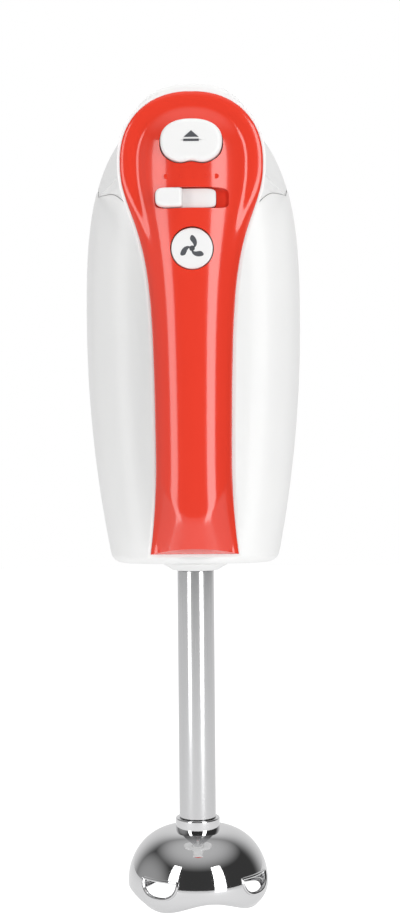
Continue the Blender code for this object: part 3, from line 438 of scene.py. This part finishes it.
base = mesh_object("base_casing", body_half(-casing_gap / 2, casing_gap / 2 - body_back, nose_z))
carve(base, body_half(body_wall, -body_back - body_wall, nose_z - body_wall, body_wall))
for side in (-1, 1):
    spindle_low, spindle_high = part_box("beater_spindle_left" if side < 0 else "beater_spindle_right")
    spindle = (spindle_low + spindle_high) / 2
    carve(base, post((spindle_high.x - spindle_low.x) / 2 + 0.0005, spindle.x, spindle.z,
                     -body_back - 0.001, -body_back + 0.014))
for i in range(1, 5):
    screw_low, screw_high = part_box(f"housing_screw_{i}")
    screw = (screw_low + screw_high) / 2
    carve(base, post((screw_high.x - screw_low.x) / 2 + casing_gap, screw.x, screw.z,
                     -body_back - 0.001, -0.028))
carve(base, upright(socket_radius, 0, 0, rear_z - 0.001, rear_z + 0.004))
gland_low, gland_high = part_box("cord_gland")
carve(base, upright(gland_high.x - 0.001 + casing_gap, 0, axis_y - (gland_low.y + gland_high.y) / 2,
                    rear_z - 0.001, rear_z + 0.004))
finish(base, white_abs, "mixer_body", "white_gloss", "base_shell")

upper = mesh_object("upper_casing", body_half(casing_gap / 2, body_front, hood_split))
carve(upper, body_half(-body_wall, body_front + body_wall, hood_split + 0.01, body_wall))
carve(upper, hood_form(0.0001, -0.001, hood_reach))
carve(upper, upright(socket_radius, 0, 0, rear_z - 0.001, rear_z + 0.004))
finish(upper, white_abs, "mixer_body", "white_gloss", "upper_housing")

grip_seat = cover_seat - casing_gap / 2
handle = mesh_object("handle_casing", grip_form(0, grip_seat))
carve(handle, hood_form(0, casing_gap / 2, hood_reach), "UNION")
carve(handle, column_form(0, body_front * 0.6, column_reach), "UNION")
carve(handle, body_half(-0.001, body_front + 0.001 + casing_gap, hood_split, -casing_gap))
carve(handle, grip_form(-body_wall, grip_seat + 0.001))
carve(handle, hood_form(-body_wall, -0.001, cover_seat - hood_face))
carve(handle, column_form(-body_wall, body_front * 0.5, column_reach + 0.002))
finish(handle, white_abs, "mixer_body", "white_gloss", "handle_shell")

# Controls: the eject button, the speed slide with its raised thumb piece, and the round blend button,
# all moulded in satin white with generic marks, over the dark floor of the slot.

button_white = moulded("satin_white_abs", "#efefee", "#ececec", 0.32, 0.5, 0.000004, coat=0.1)
mark_grey = moulded("grey_pad_print", "#4a4c50", "#525458", 0.5, 0.4)
print_sink, print_rise = 0.0002, 0.00004
eject_travel, blend_travel = 0.006, 0.0025


def hollow_for_spring(key, spring, travel, base_out, face):
    """Bores the back of a key so that it can be pressed down over its spring."""
    low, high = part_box(spring)
    top = min(axis_y - low.y + travel + 0.0003, face - 0.0012)
    radius = (high.x - low.x) / 2 + 0.0004
    carve(key, post(radius, (low.x + high.x) / 2, (low.z + high.z) / 2, base_out - 0.001, top))


control_face = axis_y - eject_low.y - 0.00005
button_base = axis_y - eject_high.y
rings = [bean_ring(-0.0004, button_base)]
for k in range(9):
    angle = math.pi / 2 * k / 8
    rings.append(bean_ring(-0.0022 * (1 - math.cos(angle)), control_face - 0.0016 * (1 - math.sin(angle))))
rings.append(bean_ring(-0.0060, control_face - 0.0001))
rings.append(bean_ring(-0.0080, control_face - 0.00012))
eject = mesh_object("eject_key", skin(rings))
hollow_for_spring(eject, "eject_spring", eject_travel, button_base, control_face)
finish(eject, button_white, "ejector", "button_white", "eject_button")


def plate(outlines, low, high):
    """Flat printed or raised marks: each outline a ring of (x, z), from low to high."""
    bm = bmesh.new()
    for outline in outlines:
        scratch = bpy.data.meshes.new("scratch")
        mark = skin(([at(x, low, z) for x, z in outline], [at(x, high, z) for x, z in outline]))
        mark.to_mesh(scratch)
        mark.free()
        bm.from_mesh(scratch)
        bpy.data.meshes.remove(scratch)
    return bm


mark_z = eject_z + 0.0012
mark_half, bar_top, bar_bottom = 0.0030, mark_z - 0.0007, mark_z - 0.0016
triangle = [(-mark_half, mark_z), (0.0, mark_z + 0.0026), (mark_half, mark_z)]
bar = [(-mark_half, bar_bottom), (-mark_half, bar_top), (mark_half, bar_top), (mark_half, bar_bottom)]
eject_mark = mesh_object("eject_mark", plate((triangle, bar), control_face - print_sink,
                                             control_face + print_rise))
finish(eject_mark, mark_grey, "ejector", "button_white")

strip_face = cover_face - 0.0021
strip_left, strip_right = -0.0120, 0.0096
strip_middle, strip_half = (strip_left + strip_right) / 2, (strip_right - strip_left) / 2
rise = slot_rise - 0.0003
strip_rings = [slot_ring(strip_half, rise, out, strip_middle)
               for out in (cover_face - 0.0054, strip_face - 0.0002)]
strip_rings.append(slot_ring(strip_half - 0.0002, rise - 0.0002, strip_face, strip_middle))
strip = mesh_object("slide_strip", skin(strip_rings))
finish(strip, button_white, "mixer_body", "button_white", "slide_track")
bed = mesh_object("slot_bed", skin([slot_ring(slot_half + 0.001, slot_rise + 0.001, cover_face - out)
                                    for out in (0.0062, 0.0052)]))
carve(bed, skin([slot_ring(strip_half + 0.0002, rise + 0.0002, cover_face - out, strip_middle)
                 for out in (0.0070, 0.0040)]))
finish(bed, red_abs, "mixer_body", "red_gloss")

knob_low, knob_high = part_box("speed_knob")
knob_x = (knob_low.x + knob_high.x) / 2
knob_half, knob_rise = (knob_high.x - knob_low.x) / 2, (knob_high.z - knob_low.z) / 2
knob_face = axis_y - knob_low.y


def knob_ring(trim, out):
    """The thumb piece's outline: rounded at its outer end, square at the end over the strip."""
    ring = []
    for i in range(72):
        angle = math.tau * i / 72
        square = 9 if math.cos(angle) > 0 else 3.2
        ring.append(at(knob_x + (knob_half - trim) * bow(math.cos(angle), square), out,
                       slot_z + (knob_rise - trim) * bow(math.sin(angle), square)))
    return ring


knob_rings = [knob_ring(0, strip_face + 0.0003)]
for k in range(9):
    angle = math.pi / 2 * k / 8
    knob_rings.append(knob_ring(0.0013 * (1 - math.cos(angle)), knob_face - 0.0013 * (1 - math.sin(angle))))
knob_rings.append(knob_ring(0.0026, knob_face))
knob = mesh_object("thumb_piece", skin(knob_rings))
peg_outs = (cover_face - 0.0050, strip_face + 0.001)
carve(knob, skin([slot_ring(0.0012, 0.001, out, knob_x, 24) for out in peg_outs]), "UNION")
finish(knob, button_white, "speed_switch", "button_white", "speed_knob")

blend_face = axis_y - blend_low.y
blend_radius = blend_high.x
key_rings = [round_ring(blend_radius, 0, blend_z, axis_y - blend_high.y, 96)]
for k in range(7):
    angle = math.pi / 2 * k / 6
    key_rings.append(round_ring(blend_radius - 0.0006 * (1 - math.cos(angle)), 0, blend_z,
                                blend_face - 0.0006 * (1 - math.sin(angle)), 96))
blend_key = mesh_object("blend_key_cap", skin(key_rings))
hollow_for_spring(blend_key, "blend_spring", blend_travel, axis_y - blend_high.y, blend_face)
finish(blend_key, button_white, "blend_key", "button_white", "blend_button")


def on_key(radius, turn):
    return (radius * math.cos(turn), blend_z + radius * math.sin(turn))


swirl_radius, hub_radius, arm_steps = 0.0052, 0.0011, 14
swirl = []
for arm in range(3):
    outline = []
    for k in range(arm_steps + 1):
        share = k / arm_steps
        outline.append(on_key(swirl_radius * share, math.tau * arm / 3 + 1.5 * share))
    for k in range(arm_steps, 0, -1):
        share = k / arm_steps
        turn = math.tau * arm / 3 + 1.5 * share + 0.75 * math.sin(math.pi * share) + 0.12
        outline.append(on_key(swirl_radius * share, turn))
    swirl.append(outline)
hub = [on_key(hub_radius, math.tau * i / 24) for i in range(24)]
blend_mark = mesh_object("blend_mark", plate(swirl + [hub], blend_face - print_sink,
                                             blend_face + print_rise))
finish(blend_mark, mark_grey, "blend_key", "button_white")


def cover_out(x, z):
    """The cover's face over a point of the grip or the head."""
    share = (head_z - z) / (head_z - cover_low.z)
    half_width = waist_half + (cover_half - waist_half) * narrowing(share)
    return cover_seat + (face_out(x, z) - cover_seat) * crown(x, z, half_width, doming(share))


speed_marks = bmesh.new()
marks_z = (eject_low.z + slot_z + slot_rise) / 2 - 0.0002
for i, x in enumerate((-0.0100, -0.0040, 0.0008, 0.0056, 0.0098)):
    radius = 0.0010 if i in (0, 4) else 0.0007
    face = cover_out(x, marks_z)
    scratch = bpy.data.meshes.new("scratch")
    dot = skin([round_ring(radius, x, marks_z, out, 24) for out in (face - 0.0006, face + 0.00018)])
    dot.to_mesh(scratch)
    dot.free()
    speed_marks.from_mesh(scratch)
    bpy.data.meshes.remove(scratch)
finish(mesh_object("speed_marks", speed_marks), red_abs, "mixer_body", "red_gloss")

# Blending stick: a white collar moulding with the plug that pushes into the body, a drawn stainless
# tube pressed into it, and a spun, mirror-polished bell with a waved rim and four rolled vents.

cap_low, cap_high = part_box("stick_cap")
bell_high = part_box("bell_guard")[1]
bell_radius = bell_high.x
bell_height = bell_high.z
bell_wall = 0.0012
neck_radius, neck_height = 0.0099, 0.0048
lobes = 4
lobe_rise = 0.0046
lobe_turn = math.radians(-34.0)
wave_height = bell_height * 0.26
vent_width, vent_height, vent_floor = 0.0175, 0.0080, 0.0062
side_top, rim_low, rim_draw = 0.0085, 0.0008, 0.0022    # the upright side, down to where it draws in
tube_radius = tube_high.x
tube_wall = 0.0008


def spun(profile, steps=144):
    """A closed outline of (radius, height) turned about the stick's axis."""
    bm = bmesh.new()
    verts = [bm.verts.new((radius, 0, height)) for radius, height in profile]
    edges = [bm.edges.new(ends) for ends in zip(verts, verts[1:])]
    if profile[0][0] > 0:
        edges.append(bm.edges.new((verts[-1], verts[0])))
    bmesh.ops.spin(bm, geom=verts + edges, cent=(0, 0, 0), axis=(0, 0, 1), angle=math.tau, steps=steps,
                   use_merge=True)
    bmesh.ops.remove_doubles(bm, verts=bm.verts, dist=1e-7)
    bmesh.ops.recalc_face_normals(bm, faces=bm.faces)
    bm.transform(Matrix.Translation((0, axis_y, 0)))
    return bm


def rounded(corners, radius, steps=5):
    """Rounds the corners of an outline of (radius, height) whose third value is true."""
    path = []
    for i, (x, z, soft) in enumerate(corners):
        here = Vector((x, z))
        if not soft:
            path.append(here)
            continue
        before = Vector(corners[i - 1][:2]) - here
        after = Vector(corners[(i + 1) % len(corners)][:2]) - here
        size = min(radius, before.length / 2.1, after.length / 2.1)
        start, end = here + before.normalized() * size, here + after.normalized() * size
        for k in range(steps + 1):
            t = k / steps
            path.append(start * (1 - t) ** 2 + here * 2 * t * (1 - t) + end * t ** 2)
    return [tuple(point) for point in path]


def bell_curve(inset):
    """(radius, height) from the neck down the outside to the rim, or with an inset, the inside's."""
    dome_top = bell_height - neck_height
    points = []
    for i in range(41):
        angle = math.pi / 2 * i / 40
        reach = (bell_radius - neck_radius) * math.sin(angle) ** 0.85
        drop = (dome_top - side_top) * (1 - math.cos(angle)) ** 0.9
        points.append((neck_radius + reach - inset, dome_top - drop - 0.6 * inset))
    for i in range(1, 17):
        share = i / 16
        points.append((bell_radius - rim_draw * share ** 5 - inset,
                       rim_low + (side_top - rim_low - 0.6 * inset) * (1 - share)))
    return points


def wave(vert):
    """Draws the rim up between the four lobes."""
    low = max(wave_height - vert.co.z, 0.0) / wave_height
    turn = math.atan2(vert.co.x, axis_y - vert.co.y) - lobe_turn
    vert.co.z += lobe_rise * (0.5 - 0.5 * math.cos(lobes * turn)) * low


def vent_ring(reach, turn, grow=0.0):
    """The half-moon outline of a vent, at a distance from the axis."""
    ring = []
    for k in range(25):
        x = (vent_width / 2 + grow) * (1 - 2 * k / 24)
        ring.append(Vector((x, -reach, vent_floor + vent_height + grow)))
    for k in range(1, 48):
        angle = math.pi * (1 + k / 48)
        sag = (vent_height - 0.0015 + grow) * bow(math.sin(angle), 2.2)
        ring.append(Vector(((vent_width / 2 + grow) * bow(math.cos(angle), 2.6), -reach,
                            vent_floor + vent_height - 0.0005 + sag)))
    return [turn @ point for point in ring]


def bead(path, radius, count=8):
    """A round bead swept along a closed path."""
    rings = []
    for i, here in enumerate(path):
        along = (path[(i + 1) % len(path)] - path[i - 1]).normalized()
        outward = (here - Vector((0, axis_y, here.z))).normalized()
        side = along.cross(outward).normalized()
        outward = side.cross(along)
        rings.append([here + radius * (outward * math.cos(math.tau * k / count)
                                       + side * math.sin(math.tau * k / count)) for k in range(count)])
    bm = bmesh.new()
    loops = []
    for ring in rings:
        verts = [bm.verts.new(point) for point in ring]
        loops.append([bm.edges.new(ends) for ends in zip(verts, verts[1:] + verts[:1])])
    for first, second in zip(loops, loops[1:] + loops[:1]):
        bmesh.ops.bridge_loops(bm, edges=first + second)
    bmesh.ops.recalc_face_normals(bm, faces=bm.faces)
    return bm


def bell_reach(z):
    """The bell's outer radius at a height."""
    curve = bell_curve(0)
    for (r0, z0), (r1, z1) in zip(curve, curve[1:]):
        if z1 <= z <= z0:
            return r0 + (r1 - r0) * (z0 - z) / max(z0 - z1, 1e-9)
    return bell_radius


def steel(name, colour, roughness, stretch, brush_mm, brush_depth):
    """Bare stainless steel: fine lines left by the polishing wheel, drawn out along one direction."""
    mat = bpy.data.materials.new(name)
    mat.use_nodes = True
    tree = mat.node_tree
    shader = tree.nodes["Principled BSDF"]
    place = node(tree, "ShaderNodeMapping", Vector=node(tree, "ShaderNodeTexCoord").outputs["Object"])
    place.inputs["Scale"].default_value = stretch
    lines = node(tree, "ShaderNodeTexNoise", Vector=place.outputs["Vector"], Scale=1000 / brush_mm,
                 Detail=2.0)
    bump = node(tree, "ShaderNodeBump", Height=lines.outputs["Fac"], Distance=brush_depth, Strength=0.4)
    rough = node(tree, "ShaderNodeMapRange", Value=lines.outputs["Fac"], From_Min=0.3, From_Max=0.7,
                 To_Min=roughness * 0.8, To_Max=roughness * 1.25)
    tree.links.new(bump.outputs["Normal"], shader.inputs["Normal"])
    tree.links.new(rough.outputs["Result"], shader.inputs["Roughness"])
    shader.inputs["Base Color"].default_value = linear(colour)
    shader.inputs["Metallic"].default_value = 1.0
    return mat


polished_steel = steel("polished_stainless", "#d9d9da", 0.05, (1, 1, 3), 1.2, 0.000002)
drawn_steel = steel("drawn_stainless_tube", "#cfcfd0", 0.17, (1, 1, 0.02), 0.7, 0.000006)

plug_radius = 0.012
cap_profile = rounded([
    (0.0055, cap_low.z, False), (cap_high.x - 0.0042, cap_low.z, True), (cap_high.x, rear_z - 0.0014, True),
    (cap_high.x, rear_z - casing_gap, True), (plug_radius, rear_z - casing_gap, False),
    (plug_radius, cap_high.z, True), (0.0090, cap_high.z, True), (0.0090, rear_z + 0.010, False),
    (0.0055, rear_z + 0.010, False)], 0.001)
cap = mesh_object("stick_collar", spun(cap_profile))
finish(cap, white_abs, "stick", "white_gloss", "stick_cap")

tube_profile = [(tube_radius - tube_wall, tube_low.z), (tube_radius, tube_low.z), (tube_radius, tube_high.z),
                (tube_radius - tube_wall, tube_high.z)]
tube = mesh_object("tube", spun(tube_profile))
finish(tube, drawn_steel, "stick", "brushed_steel", "stick_tube")

bore = tube_radius - tube_wall - casing_gap
neck = rounded([(bore, bell_height, True), (neck_radius, bell_height, True),
                (neck_radius, bell_height - neck_height, False)], 0.0007)
outer_curve, inner_curve = bell_curve(0), bell_curve(bell_wall)
lip = [(bell_radius - rim_draw + bell_wall / 2 * (math.cos(a) - 1), rim_low - bell_wall / 2 * math.sin(a))
       for a in (math.pi * k / 8 for k in range(1, 8))]
bell_profile = neck[:-1] + outer_curve + lip + inner_curve[::-1][:-1] + [
    (bore, bell_height - neck_height - 0.002)]
bell_bm = spun(bell_profile, 180)
for vert in bell_bm.verts:
    wave(vert)
bell = mesh_object("bell", bell_bm)
vent_beads = []
for i in range(lobes):
    turn = Matrix.Translation((0, axis_y, 0)) @ Matrix.Rotation(lobe_turn + math.tau * i / lobes, 4, "Z")
    carve(bell, skin((vent_ring(0.020, turn), vent_ring(0.040, turn))))
    path = []
    for point in vent_ring(0.030, turn, 0.0003):
        flat = Vector((point.x, point.y - axis_y, 0))
        centre = turn @ Vector((0, -1, 0)) - Vector((0, axis_y, 0))
        across = flat - centre * flat.dot(centre)
        reach = bell_reach(point.z)
        along = math.sqrt(max(reach ** 2 - across.length_squared, 0.0))
        path.append(Vector((across.x + centre.x * along, axis_y + across.y + centre.y * along, point.z)))
    vent_beads.append(path)
finish(bell, polished_steel, "stick", "polished_steel", "bell_guard", sharp=40)
for i, path in enumerate(vent_beads):
    rim = mesh_object(f"vent_rim_{i + 1}", bead(path, 0.0007))
    finish(rim, polished_steel, "stick", "polished_steel")

# Working parts seen through the vents and openings, and inside the body: the blade and its shaft, the
# beater spindles, the screws, the cord gland, and the motor and gear train, each in its own metal or
# plastic as it comes from the machine or the mould.

finishes = {
    "white_gloss": white_abs, "red_gloss": red_abs, "button_white": button_white,
    "polished_steel": polished_steel, "brushed_steel": drawn_steel,
    "plain_steel": moulded("turned_bare_steel", "#b4b6b9", "#a6a8ab", 0.3, 0.25, metallic=1.0),
    "bronze": moulded("sintered_bronze", "#a8803f", "#8e6a35", 0.42, 0.15, metallic=1.0),
    "copper": moulded("enamelled_copper_wire", "#a4532a", "#8c4222", 0.3, 0.6, 0.00004, metallic=0.8),
    "nylon": moulded("natural_nylon", "#ddd9c8", "#d2cdb9", 0.45, 0.6),
    "dark_plastic": moulded("satin_black_moulding", "#2b2b2c", "#242425", 0.4, 0.5),
    "carbon": moulded("pressed_carbon", "#333335", "#28282a", 0.6, 0.2),
    "board": moulded("green_laminate", "#2c5f38", "#285732", 0.4, 0.4),
    "seal_rubber": moulded("moulded_rubber", "#262626", "#1f1f1f", 0.7, 0.3),
}
slots = {piece["node"]: piece["material_slot"] for piece in frame["record"]["subparts"]}
for name, piece in frame["nodes"].items():
    piece.data.materials.clear()
    piece.data.materials.append(finishes[slots[name]])

# Light and camera: a pale floor that glows less to the object than to the camera, two tall strip lights
# that draw the long streaks on the gloss and the steel, a soft panel from above that no gloss mirrors, and
# a room that is dim in front, pale behind and above, and faintly lit on the left.

floor_bm = bmesh.new()
bmesh.ops.create_circle(floor_bm, cap_ends=True, segments=96, radius=3.0)
floor_bm.transform(Matrix.Translation((0, axis_y, cad_low.z - 0.062)))
floor = mesh_object("floor", floor_bm)
floor_paint = bpy.data.materials.new("pale_floor_paint")
floor_paint.use_nodes = True
floor_shader = floor_paint.node_tree.nodes["Principled BSDF"]
floor_shader.inputs["Base Color"].default_value = linear("#a8a8a8")
floor_shader.inputs["Roughness"].default_value = 0.9
floor_shader.inputs["Emission Color"].default_value = linear("#ffffff")
floor_seen = node(floor_paint.node_tree, "ShaderNodeLightPath").outputs["Is Camera Ray"]
floor_glow = node(floor_paint.node_tree, "ShaderNodeMapRange", Value=floor_seen, To_Min=0.62, To_Max=0.95)
floor_paint.node_tree.links.new(floor_glow.outputs["Result"], floor_shader.inputs["Emission Strength"])
floor.data.materials.append(floor_paint)



def light(name, place, width, height, watts, aim, mirrored=True):
    data = bpy.data.lights.new(name, "AREA")
    data.shape = "RECTANGLE"
    data.size, data.size_y = width, height
    data.energy = watts
    obj = bpy.data.objects.new(name, data)
    bpy.context.collection.objects.link(obj)
    obj.location = place
    obj.rotation_euler = (aim - Vector(place)).to_track_quat("-Z", "Y").to_euler()
    obj.visible_glossy = mirrored


def around(degrees, distance, z):
    """A place round the object, measured from the handle side towards +X."""
    turn = math.radians(degrees)
    return (distance * math.sin(turn), axis_y - distance * math.cos(turn), z)


strip_middle_z = 0.30
strip_aim = Vector((0, axis_y, strip_middle_z))
light("left_strip", around(-42, 0.9, strip_middle_z), 0.26, 1.1, 3.0, strip_aim)
light("right_strip", around(36, 0.9, strip_middle_z), 0.30, 1.1, 4.6, strip_aim)
light("top_panel", (0.1, -0.2, 1.2), 0.9, 0.9, 5.0, Vector((0, axis_y, 0.18)), mirrored=False)

world = bpy.data.worlds.new("studio")
bpy.context.scene.world = world
world.use_nodes = True
sky = world.node_tree
facing = node(sky, "ShaderNodeSeparateXYZ", Vector=node(sky, "ShaderNodeTexCoord").outputs["Generated"])
back = node(sky, "ShaderNodeMapRange", [("interpolation_type", "SMOOTHSTEP")],
            Value=facing.outputs["Y"], From_Min=0.3, From_Max=0.95, To_Min=0.05, To_Max=0.8)
left = node(sky, "ShaderNodeMapRange", [("interpolation_type", "SMOOTHSTEP")],
            Value=facing.outputs["X"], From_Min=-0.6, From_Max=-1.0, To_Min=0.0, To_Max=0.4)
above = node(sky, "ShaderNodeMapRange", [("interpolation_type", "SMOOTHSTEP")],
             Value=facing.outputs["Z"], From_Min=0.5, From_Max=1.0, To_Min=0.0, To_Max=0.6)
level = back.outputs["Result"]
seen = node(sky, "ShaderNodeLightPath").outputs["Is Camera Ray"]
for brighter in (above.outputs["Result"], left.outputs["Result"], seen):
    most = node(sky, "ShaderNodeMath", [("operation", "MAXIMUM")])
    sky.links.new(level, most.inputs[0])
    sky.links.new(brighter, most.inputs[1])
    level = most.outputs["Value"]
sky.links.new(level, sky.nodes["Background"].inputs["Strength"])
sky.nodes["Background"].inputs["Color"].default_value = (1, 1, 1, 1)

camera_data = bpy.data.cameras.new("camera")
camera_data.lens = 58.5
camera = bpy.data.objects.new("camera", camera_data)
bpy.context.collection.objects.link(camera)
camera.location = (0.0024, axis_y - 0.675, 0.196)
camera.rotation_euler = (math.pi / 2, math.radians(0.50), 0)
bpy.context.scene.camera = camera
bpy.context.scene.view_settings.view_transform = "Standard"
